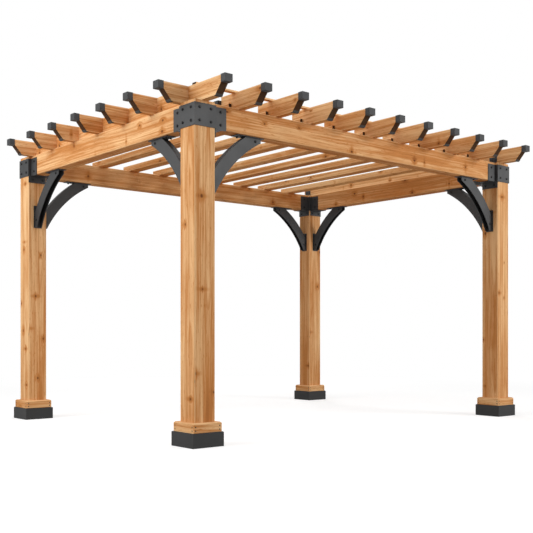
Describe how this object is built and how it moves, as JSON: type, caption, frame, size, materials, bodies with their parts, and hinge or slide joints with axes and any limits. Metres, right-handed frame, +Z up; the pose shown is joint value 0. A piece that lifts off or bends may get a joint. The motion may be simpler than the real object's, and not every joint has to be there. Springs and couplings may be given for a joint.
{
  "type": "wooden pergola",
  "caption": "Open timber pergola: square posts on boxed feet carry a ring of beams with steel corner brackets and curved braces, under a slatted roof with capped tails.",
  "frame": {"origin": "on the floor, under the middle of the whole part", "axes": "+X along the front beam, the front facing -Y, +Z up"},
  "size_m": [3.72, 2.815, 2.316],
  "materials": {
    "cedar": "honey-stained softwood with straight grain and small knots",
    "steel": "charcoal powder coat, fine texture",
    "boot_steel": "dark charcoal powder coat",
    "cap_plastic": "dark grey moulded caps"
  },
  "bodies": {
    "root": {"front_left_post": "cedar", "front_left_skirt": "cedar", "front_left_boot": "boot_steel", "front_left_bracket": "steel", "front_left_long_brace": "steel", "front_left_short_brace": "steel", "front_right_post": "cedar", "front_right_skirt": "cedar", "front_right_boot": "boot_steel", "front_right_bracket": "steel", "front_right_long_brace": "steel", "front_right_short_brace": "steel", "back_right_post": "cedar", "back_right_skirt": "cedar", "back_right_boot": "boot_steel", "back_right_bracket": "steel", "back_right_long_brace": "steel", "back_right_short_brace": "steel", "back_left_post": "cedar", "back_left_skirt": "cedar", "back_left_boot": "boot_steel", "back_left_bracket": "steel", "back_left_long_brace": "steel", "back_left_short_brace": "steel", "front_beam": "cedar", "back_beam": "cedar", "left_beam": "cedar", "right_beam": "cedar", "left_end_rafter": "cedar", "right_end_rafter": "cedar", "slat_1": "cedar", "slat_2": "cedar", "slat_3": "cedar", "slat_4": "cedar", "slat_5": "cedar", "slat_6": "cedar", "slat_7": "cedar", "slat_8": "cedar", "slat_9": "cedar", "front_tails": "cedar", "left_tails": "cedar", "right_tails": "cedar", "front_batten": "cedar", "tail_caps": "cap_plastic"}
  },
  "joints": []
}
